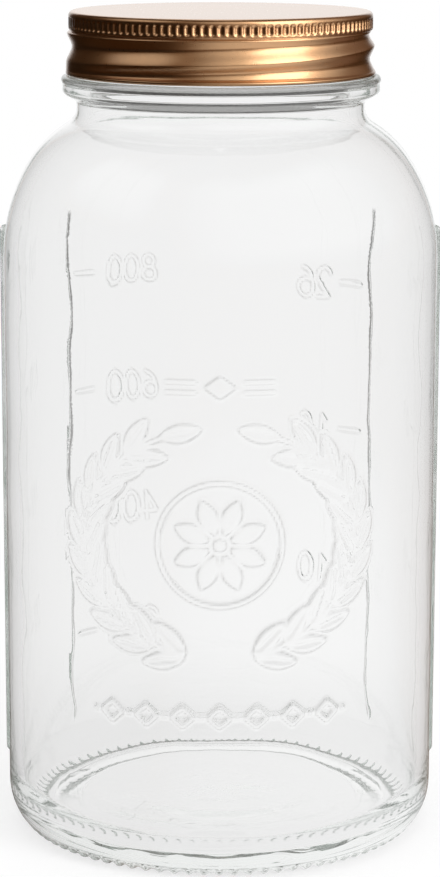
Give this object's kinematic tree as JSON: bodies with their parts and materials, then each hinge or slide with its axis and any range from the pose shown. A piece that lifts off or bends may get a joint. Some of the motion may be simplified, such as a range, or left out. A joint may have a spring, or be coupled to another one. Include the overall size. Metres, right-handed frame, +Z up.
{
  "type": "glass preserving jar with screw lid",
  "caption": "Tall round clear glass jar with a narrow neck, moulded measuring scale and side ribs, closed by a fluted copper-coloured metal screw lid.",
  "frame": {"origin": "middle of the base, at the level the jar stands on", "axes": "+Z up along the jar's axis to the lid, -Y to the front with the moulded ornament, +X to the right-hand side rib"},
  "size_m": [0.0988, 0.0972, 0.185],
  "materials": {
    "clear_glass": "clear pressed and blown soda-lime glass, fire-polished",
    "copper_lid": "copper-coloured satin lacquer on tinplate"
  },
  "bodies": {
    "root": {"glass_jar": "clear_glass", "screw_lid": "copper_lid"}
  },
  "joints": []
}
